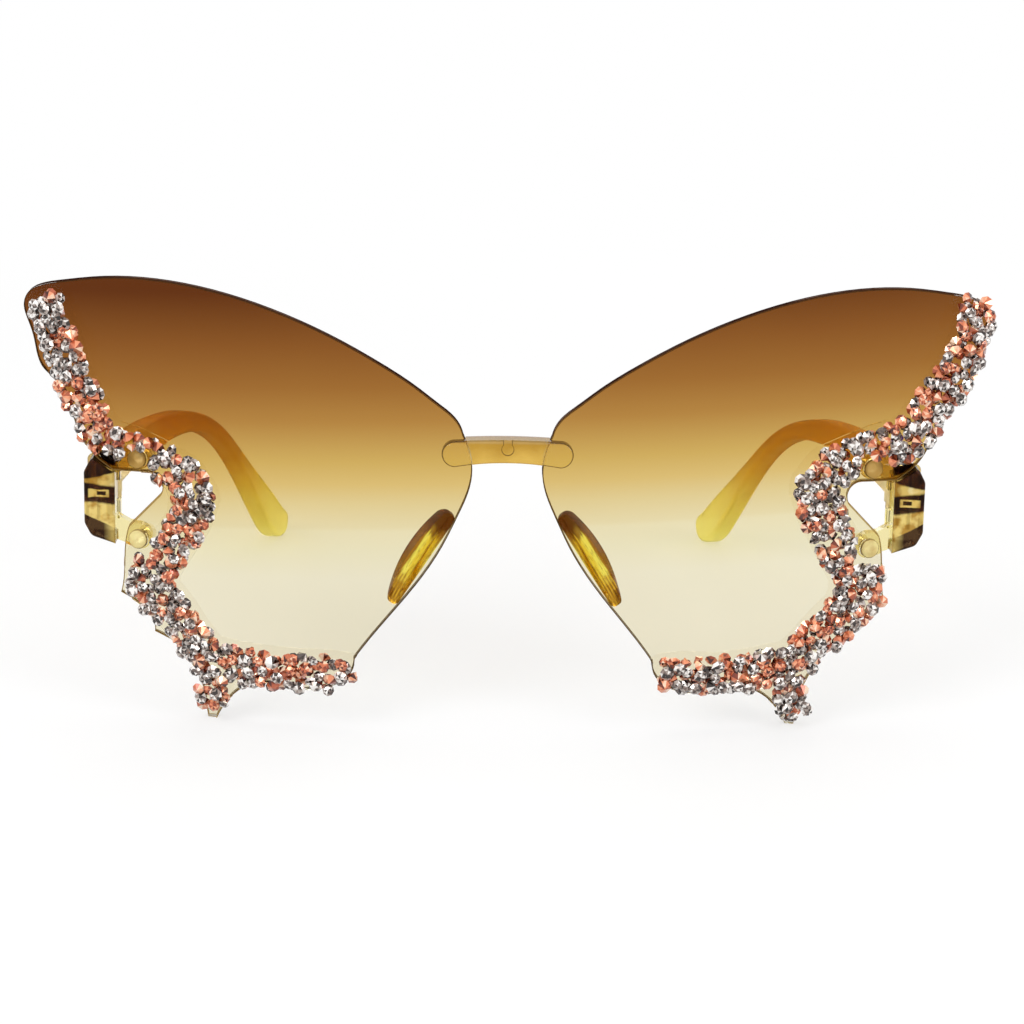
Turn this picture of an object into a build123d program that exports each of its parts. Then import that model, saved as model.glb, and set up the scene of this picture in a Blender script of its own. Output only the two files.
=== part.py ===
from build123d import *
import math
import os
import random

import numpy as np

# Butterfly sunglasses, in millimetres, standing on the tails of the two lenses and the tips of
# the two temples. +X is to the right seen from the front, +Y goes back to the ears and +Z is up.
# Every mirrored piece is modelled on the right, at +X. Depths count from the lenses' foremost
# point until the finished pieces are moved to the middle of the whole depth.

# Lenses: two cuts from one sphere
LENS_REACH = 85.1
LENS_TOP = 79.0
LENS_CURVE = 220.0
CROWN_HEIGHT = 45.0
LENS_THICKNESS = 2.0
NOTCH_ROUNDING = 2.5
CORNER_ROUNDING = 0.5

# Glue lines, clearances and overruns
GLUE_LINE = 0.05
SEAT_GAP = 0.1
OVERRUN = 5.0

# Bridge bar across the lens fronts: its length and level as shares of LENS_REACH and LENS_TOP
BRIDGE_LENGTH_SHARE = 0.2667
BRIDGE_LEVEL_SHARE = 0.6506
BRIDGE_HEIGHT = 4.6
BRIDGE_TOP_ARCH = 0.3
BRIDGE_BOTTOM_ARCH = 0.8
BRIDGE_PLATE = 1.3
BRIDGE_BACK = 2.4
BRIDGE_EASING = 0.45
GATE_WIDTH = 2.1
GATE_DEPTH = 0.3
GATE_DROP = 2.7
GATE_NECK = 1.5

# Nose pads behind the lenses' inner edges: their place as shares of LENS_REACH and LENS_TOP
PAD_REACH_SHARE = 0.1598
PAD_LEVEL_SHARE = 0.3962
PAD_LENGTH = 19.0
PAD_WIDTH = 3.3
PAD_END_WIDTH = 2.0
PAD_DEPTH = 7.2
PAD_SPLAY = 0.6
PAD_LEAN = 32.0
PAD_ROUNDING = 0.9

# Endpieces that close the notches: their places as shares of LENS_REACH and LENS_TOP, and the
# heights of the bar, the elbows and the window as shares of the span over both arms
BAR_REACH_SHARE = 0.8696
RIVET_REACH_SHARE = 0.7568
ENDPIECE_LEVEL_SHARE = 0.5095
RIVET_SPACING_SHARE = 0.1835
STRAIGHT_SHARE = 0.482
ELBOW_SHARE = 0.722
WINDOW_SHARE = 0.398
BAR_WIDTH = 5.4
BAR_DEPTH = 6.0
BAR_SETBACK = 0.16
BAR_EASING = 0.6
ELBOW_INSET = 1.2
ELBOW_ROUNDING = 1.6
ARM_WIDTH = 4.6
ARM_THICKNESS = 2.2

# Rivets that hold the arms to the lens
RIVET_SHANK = 0.95
RIVET_HEAD = 1.72
RIVET_HEAD_HEIGHT = 0.8
RIVET_TAIL = 1.5
RIVET_TAIL_HEIGHT = 0.5
RIVET_EASING = 0.25
RIVET_CLEARANCE = 0.05

# Hinge at the back of each endpiece
KNUCKLE_RADIUS = 2.0
KNUCKLE_HEIGHT = 10.0
TONGUE_HEIGHT = 3.4
HINGE_GAP = 0.3
LEAF_GAP = 0.15
SCREW_RADIUS = 0.7
SCREW_CLEARANCE = 0.05
SCREW_HEAD = 1.2
SCREW_HEAD_HEIGHT = 0.7
SCREW_SLOT = 0.35
SCREW_SHORTFALL = 0.3

# Temples
TEMPLE_LENGTH = 133.0
TEMPLE_LEAN = 10.5
TEMPLE_THICKNESS = 4.1
TEMPLE_SKIN = 1.0
TEMPLE_EASING = 1.1
TEMPLE_RISE = 6.65

# Crust of stones on its bed of glue
BED_THICKNESS = 0.5
BED_MARGIN = 0.4
STONE_RADIUS = 1.28
STONE_SIZE_SHARES = [1.0, 0.92, 0.82]
STONE_CROWN_SHARE = 0.38
STONE_STAR_SHARE = 0.06
STONE_TABLE_SHARE = 0.62
STONE_PAVILION_SHARE = 0.85
STONE_INSET_SHARE = 0.5
STONE_SIDES = 8
STONE_GAP = 0.03
STONE_COUNT = 700
CRUST_DEPTH = 3.9
FLOOR_CLEARANCE = 0.3
SPOTS_TRIED = 9
LEAST_CLIMB_SHARE = 0.02
SEED = 11

# How stones lie: shares of each kind with the table or the point outwards, and tilts in degrees
CLEAR_KIND_SHARES = (0.75, 0.07)
COPPER_KIND_SHARES = (0.22, 0.48)
VIOLET_KIND_SHARES = (1.0, 0.0)
TABLE_SWAY = 14
POINT_SWAY = 20
SIDE_TILTS = (35, 145)
HALF_TURN = 180

# Outline of a lens, as shares of LENS_REACH across and of LENS_TOP up
NOSE_EDGE_SHARES = [
    (0.308, 0.167), (0.227, 0.285), (0.173, 0.362), (0.130, 0.437), (0.098, 0.510),
    (0.078, 0.563), (0.071, 0.619), (0.077, 0.653), (0.090, 0.689),
]
BROW_EDGE_SHARES = [
    (0.090, 0.689), (0.106, 0.722), (0.143, 0.755), (0.183, 0.787), (0.264, 0.841),
    (0.344, 0.886), (0.466, 0.940), (0.588, 0.977), (0.713, 0.996), (0.840, 0.993),
    (0.921, 0.979), (0.964, 0.968), (0.989, 0.952), (1.000, 0.923), (0.991, 0.889),
    (0.979, 0.854), (0.972, 0.819), (0.959, 0.787), (0.931, 0.762), (0.909, 0.734),
    (0.896, 0.694), (0.884, 0.656), (0.866, 0.620), (0.841, 0.591),
]
NOTCH_SHARES = [(0.841, 0.591), (0.811, 0.570), (0.666, 0.573), (0.779, 0.443)]
SCALLOP_SHARES = [
    [(0.779, 0.443), (0.788, 0.390), (0.790, 0.345), (0.798, 0.287)],
    [(0.798, 0.287), (0.759, 0.264), (0.736, 0.240), (0.727, 0.200)],
    [(0.727, 0.200), (0.696, 0.185), (0.672, 0.167), (0.660, 0.147)],
    [(0.660, 0.147), (0.635, 0.101), (0.623, 0.058), (0.620, 0.028), (0.616, 0.000)],
]
FOOT_SHARES = [(0.616, 0.000), (0.598, 0.000)]
HEM_SHARES = [
    [(0.598, 0.000), (0.583, 0.032), (0.555, 0.068), (0.526, 0.089)],
    [(0.526, 0.089), (0.464, 0.092), (0.422, 0.083), (0.380, 0.091), (0.338, 0.109),
     (0.313, 0.138), (0.308, 0.167)],
]

# Side view of a temple, as shares of TEMPLE_LENGTH back from the hinge and of TEMPLE_TOP up
TEMPLE_TOP_SHARES = [
    (-0.040, 1.000), (0.060, 1.005), (0.150, 1.008), (0.263, 0.985), (0.346, 0.955),
    (0.436, 0.900), (0.526, 0.820), (0.602, 0.725), (0.692, 0.582), (0.782, 0.435),
    (0.865, 0.303), (0.947, 0.166),
]
TEMPLE_BOTTOM_SHARES = [
    (0.959, 0.000), (0.891, 0.068), (0.850, 0.149), (0.782, 0.297), (0.692, 0.488),
    (0.602, 0.646), (0.526, 0.742), (0.451, 0.806), (0.376, 0.844), (0.290, 0.864),
    (0.200, 0.870), (0.110, 0.866), (0.045, 0.848), (-0.040, 0.818),
]
TEMPLE_TIP_SHARES = [(0.947, 0.166), (0.994, 0.072), (0.959, 0.000)]

# Middle line of each crust and its half width, as shares of LENS_REACH, LENS_TOP and LENS_REACH
CRUST_LEFT_SHARES = [
    (0.950, 0.938, 0.037), (0.931, 0.884, 0.044), (0.916, 0.841, 0.044), (0.903, 0.799, 0.042),
    (0.885, 0.756, 0.042), (0.862, 0.713, 0.043), (0.845, 0.671, 0.045), (0.814, 0.640, 0.038),
    (0.764, 0.638, 0.030), (0.718, 0.606, 0.040), (0.660, 0.574, 0.042), (0.638, 0.526, 0.049),
    (0.650, 0.473, 0.043), (0.682, 0.418, 0.043), (0.729, 0.360, 0.056), (0.727, 0.308, 0.051),
    (0.680, 0.254, 0.045), (0.652, 0.212, 0.042), (0.622, 0.168, 0.043), (0.599, 0.115, 0.039),
    (0.608, 0.043, 0.036),
]
HEM_LEFT_SHARES = [
    (0.599, 0.154, 0.042), (0.547, 0.142, 0.044), (0.484, 0.136, 0.044), (0.421, 0.137, 0.041),
    (0.360, 0.137, 0.042), (0.322, 0.146, 0.030),
]
CRUST_RIGHT_SHARES = [
    (0.959, 0.962, 0.036), (0.967, 0.911, 0.042), (0.956, 0.867, 0.045), (0.936, 0.824, 0.045),
    (0.914, 0.781, 0.048), (0.878, 0.738, 0.046), (0.852, 0.695, 0.046), (0.811, 0.659, 0.046),
    (0.761, 0.659, 0.036), (0.706, 0.634, 0.040), (0.656, 0.606, 0.046), (0.634, 0.568, 0.050),
    (0.649, 0.523, 0.052), (0.663, 0.479, 0.045), (0.690, 0.429, 0.047), (0.729, 0.368, 0.053),
    (0.742, 0.318, 0.063), (0.719, 0.281, 0.052), (0.677, 0.240, 0.049), (0.639, 0.199, 0.045),
    (0.602, 0.158, 0.044), (0.595, 0.093, 0.040), (0.616, 0.042, 0.034),
]
HEM_RIGHT_SHARES = [
    (0.602, 0.158, 0.044), (0.547, 0.149, 0.044), (0.511, 0.141, 0.045), (0.441, 0.138, 0.041),
    (0.374, 0.142, 0.043), (0.335, 0.147, 0.036),
]
VIOLET_SHARES = (0.804, 0.668)

# Worked-out places
SPHERE_CENTRE = (0, LENS_CURVE, CROWN_HEIGHT)
FORWARD = np.array([0, -1, 0])
BRIDGE_LENGTH = BRIDGE_LENGTH_SHARE * LENS_REACH
BRIDGE_LEVEL = BRIDGE_LEVEL_SHARE * LENS_TOP
PAD_REACH = PAD_REACH_SHARE * LENS_REACH
PAD_LEVEL = PAD_LEVEL_SHARE * LENS_TOP
RIVET_REACH = RIVET_REACH_SHARE * LENS_REACH
RIVET_SPACING = RIVET_SPACING_SHARE * LENS_TOP
ENDPIECE_LEVEL = ENDPIECE_LEVEL_SHARE * LENS_TOP
ARM_SPAN = RIVET_SPACING + ARM_WIDTH
BAR_STRAIGHT = STRAIGHT_SHARE * ARM_SPAN
ELBOW_HEIGHT = ELBOW_SHARE * ARM_SPAN
WINDOW_HEIGHT = WINDOW_SHARE * ARM_SPAN
BAR_OUTSIDE = BAR_REACH_SHARE * LENS_REACH
BAR_INSIDE = BAR_OUTSIDE - BAR_WIDTH
BAR_FRONT = LENS_CURVE - math.sqrt(LENS_CURVE**2 - RIVET_REACH**2) + BAR_SETBACK
BAR_BACK = BAR_FRONT + BAR_DEPTH
HINGE_CLEAR = KNUCKLE_RADIUS + HINGE_GAP
TEMPLE_OUTSIDE = HINGE_CLEAR + TEMPLE_SKIN
LEAN_SINE = math.sin(math.radians(TEMPLE_LEAN))
LEAN_COSINE = math.cos(math.radians(TEMPLE_LEAN))
HINGE_X = BAR_OUTSIDE - (TEMPLE_OUTSIDE + KNUCKLE_RADIUS * LEAN_SINE) / LEAN_COSINE
HINGE_Y = BAR_BACK + HINGE_CLEAR
TEMPLE_TOP = ENDPIECE_LEVEL + TEMPLE_RISE
STONE_RADII = [share * STONE_RADIUS for share in STONE_SIZE_SHARES]


def front_depth(across, up):
    """Depth of the lens front at a place seen from the front."""
    return LENS_CURVE - math.sqrt(LENS_CURVE**2 - across**2 - (up - CROWN_HEIGHT) ** 2)


def lens_point(across, up):
    return np.array([across, front_depth(across, up), up])


def lens_normal(across, up):
    """Unit vector out of the lens front, towards the viewer."""
    return (lens_point(across, up) - np.array(SPHERE_CENTRE)) / LENS_CURVE


def lens_ball(offset):
    """Ball whose surface lies in front of the lens front by offset."""
    return Pos(*SPHERE_CENTRE) * Sphere(LENS_CURVE + offset)


def seen_from_front(face, start, end):
    """Prism over an outline drawn across and up, between two depths."""
    plane = Plane(origin=(0, start, 0), x_dir=(1, 0, 0), z_dir=(0, -1, 0))
    return extrude(plane * face, amount=start - end)


def scaled_points(shares):
    return [(share[0] * LENS_REACH, share[1] * LENS_TOP) for share in shares]


def lens_outline():
    """Closed outline of the right lens, with its notch and scallops."""
    notch = FilletPolyline(
        *scaled_points(NOTCH_SHARES), radius=[CORNER_ROUNDING, NOTCH_ROUNDING]
    )
    runs = [Spline(*scaled_points(NOSE_EDGE_SHARES)), Spline(*scaled_points(BROW_EDGE_SHARES))]
    runs.append(notch)
    runs += [Spline(*scaled_points(shares)) for shares in SCALLOP_SHARES]
    runs.append(Line(*scaled_points(FOOT_SHARES)))
    runs += [Spline(*scaled_points(shares)) for shares in HEM_SHARES]
    return make_face([edge for run in runs for edge in run.edges()])


def lens_prism(across, up):
    """The lens outline, moved across and up, through the whole depth of the front."""
    return seen_from_front(Pos(across, up) * lens_outline(), -OVERRUN, BAR_BACK + OVERRUN)


def rivet_places():
    half = RIVET_SPACING / 2
    return [(RIVET_REACH, ENDPIECE_LEVEL + half), (RIVET_REACH, ENDPIECE_LEVEL - half)]


def rivet_plane(across, up):
    """Plane on the lens front at a rivet, facing the viewer."""
    return Plane(origin=tuple(lens_point(across, up)), z_dir=tuple(lens_normal(across, up)))


def rivet_bore(across, up):
    reach = LENS_THICKNESS + ARM_THICKNESS + OVERRUN
    bore = Cylinder(RIVET_SHANK + RIVET_CLEARANCE, reach * 2)
    return rivet_plane(across, up) * bore


def make_lens(prism):
    shell = lens_ball(0) - lens_ball(-LENS_THICKNESS)
    lens = prism & shell
    for place in rivet_places():
        lens -= rivet_bore(*place)
    return lens


def make_rivet(across, up):
    """Pin through the lens and the arm, with a round head in front and a flat one behind."""
    grip = LENS_THICKNESS + GLUE_LINE + ARM_THICKNESS
    head_seat = RIVET_CLEARANCE
    tail_seat = -grip - RIVET_CLEARANCE
    head = Pos(0, 0, head_seat) * Cylinder(
        RIVET_HEAD, RIVET_HEAD_HEIGHT, align=(Align.CENTER, Align.CENTER, Align.MIN)
    )
    head = fillet(head.edges().group_by(Axis.Z)[-1], RIVET_EASING)
    tail = Pos(0, 0, tail_seat) * Cylinder(
        RIVET_TAIL, RIVET_TAIL_HEIGHT, align=(Align.CENTER, Align.CENTER, Align.MAX)
    )
    shank = Pos(0, 0, head_seat) * Cylinder(
        RIVET_SHANK, head_seat - tail_seat, align=(Align.CENTER, Align.CENTER, Align.MAX)
    )
    return rivet_plane(across, up) * (head + shank + tail)


def bridge_outline():
    """Long bar with round ends, its lower edge arched more than its upper one."""
    radius = BRIDGE_HEIGHT / 2
    run = BRIDGE_LENGTH / 2 - radius
    top = ThreePointArc((-run, radius), (0, radius + BRIDGE_TOP_ARCH), (run, radius))
    right_end = ThreePointArc((run, radius), (run + radius, 0), (run, -radius))
    bottom = ThreePointArc((run, -radius), (0, BRIDGE_BOTTOM_ARCH - radius), (-run, -radius))
    left_end = ThreePointArc((-run, -radius), (-run - radius, 0), (-run, radius))
    return Pos(0, BRIDGE_LEVEL) * make_face([top, right_end, bottom, left_end])


def make_bridge():
    """Arched bar: a thin plate in front of each lens and a deeper block between them."""
    lens_room = lens_prism(-SEAT_GAP, 0) & lens_ball(GLUE_LINE)
    bar = seen_from_front(bridge_outline(), -BRIDGE_PLATE, BRIDGE_BACK)
    front_rim = bar.edges().filter_by_position(Axis.Y, -BRIDGE_PLATE, -BRIDGE_PLATE)
    bar = fillet(front_rim, BRIDGE_EASING)
    return bar - lens_room - mirror(lens_room, about=Plane.YZ) - gate_recess()


def gate_recess():
    """Shallow keyhole recess at the middle of the bridge's upper edge."""
    top = BRIDGE_LEVEL + BRIDGE_HEIGHT / 2 + BRIDGE_TOP_ARCH
    round_level = top - GATE_DROP + GATE_WIDTH / 2
    bulb = Pos(0, round_level) * Circle(GATE_WIDTH / 2)
    neck = Pos(0, round_level) * Rectangle(
        GATE_NECK, GATE_DROP, align=(Align.CENTER, Align.MIN)
    )
    return seen_from_front(bulb + neck, -BRIDGE_PLATE - OVERRUN, GATE_DEPTH - BRIDGE_PLATE)


def pad_section(length, width, shift, depth):
    """Half-moon section of the right nose pad, its straight side towards the nose."""
    half = length / 2
    end_width = width - (PAD_WIDTH - PAD_END_WIDTH)
    bow = ThreePointArc((end_width, half), (width, 0), (end_width, -half))
    rest = Polyline((end_width, -half), (0, -half), (0, half), (end_width, half))
    face = make_face([bow, *rest.edges()])
    face = fillet(face.vertices(), PAD_ROUNDING)
    placed = Pos(PAD_REACH + shift, PAD_LEVEL) * (Rot(0, 0, PAD_LEAN) * face)
    plane = Plane(origin=(0, depth, 0), x_dir=(1, 0, 0), z_dir=(0, -1, 0))
    return plane * placed


def make_nose_pad():
    """Pad that grows from the lens back towards the nose's flank, turned outwards."""
    seat = front_depth(PAD_REACH, PAD_LEVEL)
    back = seat + LENS_THICKNESS + PAD_DEPTH
    middle = (seat + back) / 2
    sections = [
        pad_section(PAD_LENGTH, PAD_WIDTH, 0, seat),
        pad_section(PAD_LENGTH, PAD_WIDTH, PAD_SPLAY / 2, middle),
        pad_section(PAD_LENGTH - PAD_WIDTH, PAD_WIDTH, PAD_SPLAY, back),
    ]
    pad = loft(sections)
    pad = fillet(pad.edges().group_by(Axis.Y)[-1], PAD_ROUNDING)
    return pad & lens_ball(-LENS_THICKNESS - GLUE_LINE)


def endpiece_outline():
    """C-shaped outline, open towards the nose, drawn about its own mid height."""
    half_span = ARM_SPAN / 2
    rivet_half = RIVET_SPACING / 2
    arm_half = half_span - rivet_half
    outer = [
        (RIVET_REACH, half_span),
        (BAR_INSIDE, half_span - ELBOW_INSET),
        (BAR_OUTSIDE - ELBOW_INSET, ELBOW_HEIGHT / 2),
        (BAR_OUTSIDE, BAR_STRAIGHT / 2),
    ]
    inner = [
        (BAR_INSIDE, WINDOW_HEIGHT / 2),
        (BAR_INSIDE - ELBOW_INSET * 2, rivet_half - arm_half),
        (RIVET_REACH, rivet_half - arm_half),
    ]
    upper_face = make_face(
        Polyline(*outer, (BAR_OUTSIDE, 0), (BAR_INSIDE, 0), *inner, close=True)
    )
    end = Pos(RIVET_REACH, rivet_half) * Circle(arm_half)
    half_face = upper_face + end
    face = half_face + mirror(half_face, about=Plane.XZ)
    elbows = [
        corner for corner in face.vertices()
        if corner.X > BAR_INSIDE + BAR_EASING and abs(corner.Y) > BAR_STRAIGHT / 4
    ]
    face = fillet(elbows, ELBOW_ROUNDING)
    return Pos(0, ENDPIECE_LEVEL) * face


def make_endpiece():
    """Deep bar outside the notch, with two arms that lie against the lens back."""
    outline = endpiece_outline()
    body = seen_from_front(outline, BAR_FRONT, BAR_BACK)
    side = Pos(BAR_INSIDE, 0, 0) * Box(
        OVERRUN * 2, BAR_BACK * 2, LENS_TOP * 2, align=(Align.MIN, Align.CENTER, Align.CENTER)
    )
    bar = body & side
    bar = fillet(bar.edges().filter_by_position(Axis.Y, BAR_FRONT, BAR_FRONT), BAR_EASING)
    arm_back = -LENS_THICKNESS - GLUE_LINE - ARM_THICKNESS
    behind_lens = lens_ball(-LENS_THICKNESS - GLUE_LINE)
    arms = body & (behind_lens - lens_ball(arm_back))
    lens_room = lens_prism(SEAT_GAP, -SEAT_GAP) - behind_lens
    endpiece = bar - lens_room + arms
    for place in rivet_places():
        endpiece -= rivet_bore(*place)
    for sign in (1, -1):
        endpiece += hinge_ear(sign)
    bore = Cylinder(SCREW_RADIUS + SCREW_CLEARANCE, KNUCKLE_HEIGHT + OVERRUN)
    return endpiece - Pos(HINGE_X, HINGE_Y, ENDPIECE_LEVEL) * bore


def hinge_ear(sign):
    """One of the two leaves that carry the screw, above or below the temple's tongue."""
    inner = TONGUE_HEIGHT / 2 + LEAF_GAP
    height = KNUCKLE_HEIGHT / 2 - inner
    level = ENDPIECE_LEVEL + sign * (inner + height / 2)
    barrel = Pos(HINGE_X, HINGE_Y, level) * Cylinder(KNUCKLE_RADIUS, height)
    web = Pos(HINGE_X, HINGE_Y, level) * Box(
        KNUCKLE_RADIUS * 2, HINGE_CLEAR, height, align=(Align.CENTER, Align.MAX, Align.CENTER)
    )
    return barrel + web


def make_hinge_screw():
    """Slotted pan-head screw that stands in the knuckle."""
    head_seat = KNUCKLE_HEIGHT / 2 + SCREW_CLEARANCE
    shank_length = head_seat + KNUCKLE_HEIGHT / 2 - SCREW_SHORTFALL
    shank = Cylinder(SCREW_RADIUS, shank_length, align=(Align.CENTER, Align.CENTER, Align.MAX))
    head = Cylinder(SCREW_HEAD, SCREW_HEAD_HEIGHT, align=(Align.CENTER, Align.CENTER, Align.MIN))
    slot = Pos(0, 0, SCREW_HEAD_HEIGHT) * Box(
        SCREW_HEAD * 2 + OVERRUN, SCREW_SLOT, SCREW_HEAD_HEIGHT
    )
    return Pos(HINGE_X, HINGE_Y, ENDPIECE_LEVEL + head_seat) * (shank + head - slot)


def temple_plane(outwards):
    """Upright plane along the temple, at a distance outwards from the hinge's axis."""
    normal = np.array([LEAN_COSINE, LEAN_SINE, 0])
    origin = np.array([HINGE_X, HINGE_Y, 0]) + normal * outwards
    return Plane(
        origin=tuple(origin), x_dir=(-LEAN_SINE, LEAN_COSINE, 0), z_dir=tuple(normal)
    )


def temple_points(shares):
    return [(along * TEMPLE_LENGTH, up * TEMPLE_TOP) for along, up in shares]


def make_temple():
    """Side arm: a flat bar that bends down to a broad tip, with the hinge's tongue."""
    top = Spline(*temple_points(TEMPLE_TOP_SHARES))
    bottom = Spline(*temple_points(TEMPLE_BOTTOM_SHARES))
    tip = Spline(*temple_points(TEMPLE_TIP_SHARES), tangents=[top % 1, bottom % 0])
    front = Line(top @ 0, bottom @ 1)
    face = make_face([top, tip, bottom, front])
    inside = TEMPLE_OUTSIDE - TEMPLE_THICKNESS
    bar = extrude(temple_plane(inside) * face, amount=TEMPLE_THICKNESS)
    bar = fillet(bar.edges().filter_by(GeomType.BSPLINE), TEMPLE_EASING)
    room = Pos(HINGE_X, HINGE_Y, ENDPIECE_LEVEL) * Cylinder(HINGE_CLEAR, LENS_TOP)
    room += Pos(HINGE_X, HINGE_Y, ENDPIECE_LEVEL) * Box(
        HINGE_CLEAR * 2, HINGE_CLEAR, LENS_TOP, align=(Align.CENTER, Align.MAX, Align.CENTER)
    )
    seam = Pos(HINGE_X, HINGE_Y - KNUCKLE_RADIUS, ENDPIECE_LEVEL) * Box(
        LENS_TOP, LENS_TOP, LENS_TOP, align=(Align.CENTER, Align.MAX, Align.CENTER)
    )
    table = Box(
        LENS_REACH * 2,
        (TEMPLE_LENGTH + LENS_REACH) * 2,
        LENS_TOP,
        align=(Align.CENTER, Align.CENTER, Align.MAX),
    )
    temple = bar - room - seam - table + temple_tongue()
    bore = Cylinder(SCREW_RADIUS + SCREW_CLEARANCE, LENS_TOP)
    return temple - Pos(HINGE_X, HINGE_Y, ENDPIECE_LEVEL) * bore


def temple_tongue():
    """Middle leaf of the hinge, on the temple."""
    barrel = Pos(HINGE_X, HINGE_Y, ENDPIECE_LEVEL) * Cylinder(KNUCKLE_RADIUS, TONGUE_HEIGHT)
    inside = TEMPLE_OUTSIDE - TEMPLE_THICKNESS
    web_face = Pos(0, ENDPIECE_LEVEL) * Rectangle(
        HINGE_CLEAR * 2, TONGUE_HEIGHT, align=(Align.MIN, Align.CENTER)
    )
    web = extrude(temple_plane(inside) * web_face, amount=KNUCKLE_RADIUS - inside)
    return barrel + web


def crust_paths(path_shares, hem_shares):
    """Middle lines of a crust, in millimetres: across, up and half width."""
    paths = []
    for shares in (path_shares, hem_shares):
        paths.append([(x * LENS_REACH, z * LENS_TOP, w * LENS_REACH) for x, z, w in shares])
    return paths


def make_glue_bed(paths, prism):
    """Thin bed of clear glue along the crust, on the lens front."""
    band = None
    for path in paths:
        for start, end in zip(path, path[1:]):
            rounds = []
            for across, up, half in (start, end):
                rounds.append(Pos(across, up) * Circle(half + BED_MARGIN))
            link = make_hull([edge for disc in rounds for edge in disc.edges()])
            band = link if band is None else band + link
    bed = seen_from_front(band, -OVERRUN, BAR_BACK + OVERRUN)
    bed = bed & prism & (lens_ball(GLUE_LINE + BED_THICKNESS) - lens_ball(GLUE_LINE))
    for place in rivet_places():
        head = Cylinder(RIVET_HEAD + SEAT_GAP, OVERRUN)
        bed -= rivet_plane(*place) * head
    return bed


def stone_corners():
    """Corners of a pointed-back stone of radius one: girdle, table, star and point."""
    turns = [2 * math.pi * (i + 0.5) / STONE_SIDES for i in range(STONE_SIDES)]
    girdle = [(math.cos(a), math.sin(a), 0) for a in turns]
    table = [
        (STONE_TABLE_SHARE * x, STONE_TABLE_SHARE * y, STONE_CROWN_SHARE) for x, y, _ in girdle
    ]
    star = (0, 0, STONE_CROWN_SHARE + STONE_STAR_SHARE)
    return girdle, table, star, (0, 0, -STONE_PAVILION_SHARE)


def stone_faces():
    """Each flat facet of a stone of radius one, as its corners in order."""
    girdle, table, star, point = stone_corners()
    faces = []
    for i in range(STONE_SIDES):
        j = (i + 1) % STONE_SIDES
        faces.append([table[i], table[j], star])
        faces.append([girdle[i], girdle[j], table[j], table[i]])
        faces.append([girdle[j], girdle[i], point])
    return faces


def facet_normals():
    normals = []
    for corners in stone_faces():
        a, b, c = (np.array(corner) for corner in corners[:3])
        normal = np.cross(b - a, c - a)
        normals.append(normal / np.linalg.norm(normal))
    return np.array(normals)


def stone_solid(radius):
    facets = []
    for corners in stone_faces():
        scaled = [tuple(radius * value for value in corner) for corner in corners]
        facets.append(Face(Wire.make_polygon(scaled, close=True)))
    return Solid(Shell(facets))


GIRDLE, TABLE, STAR, POINT = stone_corners()
UNIT_CORNERS = np.array([*GIRDLE, *TABLE, STAR, POINT])
UNIT_NORMALS = facet_normals()


class Stone:
    """A stone's place: its radius, turn, girdle centre, corners and facet normals."""

    def __init__(self, radius, turn, centre):
        self.radius = radius
        self.turn = turn
        self.centre = centre
        self.corners = centre + radius * UNIT_CORNERS @ turn.T
        self.normals = UNIT_NORMALS @ turn.T

    def lifted(self, shift):
        return Stone(self.radius, self.turn, self.centre + shift)


def random_turn(draw, normal, kind_shares):
    """Turn of a stone on the lens: table outwards, point outwards or on its side."""
    kind = draw.random()
    table_share, point_share = kind_shares
    if kind < table_share:
        tilt = draw.gauss(0, TABLE_SWAY)
    elif kind < table_share + point_share:
        tilt = HALF_TURN + draw.gauss(0, POINT_SWAY)
    else:
        tilt = draw.uniform(*SIDE_TILTS)
    heading = draw.uniform(0, 2 * math.pi)
    spin = draw.uniform(0, HALF_TURN * 2)
    flat = np.cross(normal, [0, 0, 1])
    flat /= np.linalg.norm(flat)
    side = np.cross(normal, flat)
    hinge = math.cos(heading) * flat + math.sin(heading) * side
    other = np.cross(normal, hinge)
    angle = math.radians(tilt)
    axis = math.cos(angle) * normal + math.sin(angle) * other
    first = math.cos(math.radians(spin)) * hinge
    second = math.sin(math.radians(spin)) * np.cross(axis, hinge)
    x_dir = first + second
    return np.column_stack([x_dir, np.cross(axis, x_dir), axis])


def rise_over(stone, other_corners, other_normals, up):
    """How far a stone has to rise along up to clear another convex piece."""
    axes = np.vstack([other_normals, -stone.normals])
    own = (axes @ stone.corners.T).min(axis=1)
    theirs = (axes @ other_corners.T).max(axis=1)
    lack = theirs + STONE_GAP - own
    if (lack < STONE_GAP / 2).any():
        return 0
    climbs = axes @ up
    usable = climbs > LEAST_CLIMB_SHARE
    return float((lack[usable] / climbs[usable]).min())


def resting_rise(stone, near, up):
    """Rise that clears every piece near by, found by climbing from the lowest place."""
    total = 0
    climbing = True
    while climbing:
        climbing = False
        lifted = stone.lifted(total * up)
        for corners, normals in near:
            rise = rise_over(lifted, corners, normals, up)
            if rise > 0:
                total += rise
                lifted = stone.lifted(total * up)
                climbing = True
    return total


def near_pieces(stone, stones, obstacles, up):
    """Placed stones and obstacles that the stone could touch while it rises."""
    found = list(obstacles)
    for other in stones:
        apart = other.centre - stone.centre
        sideways = apart - (apart @ up) * up
        if np.linalg.norm(sideways) < stone.radius + other.radius:
            found.append((other.corners, other.normals))
    return found


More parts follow.
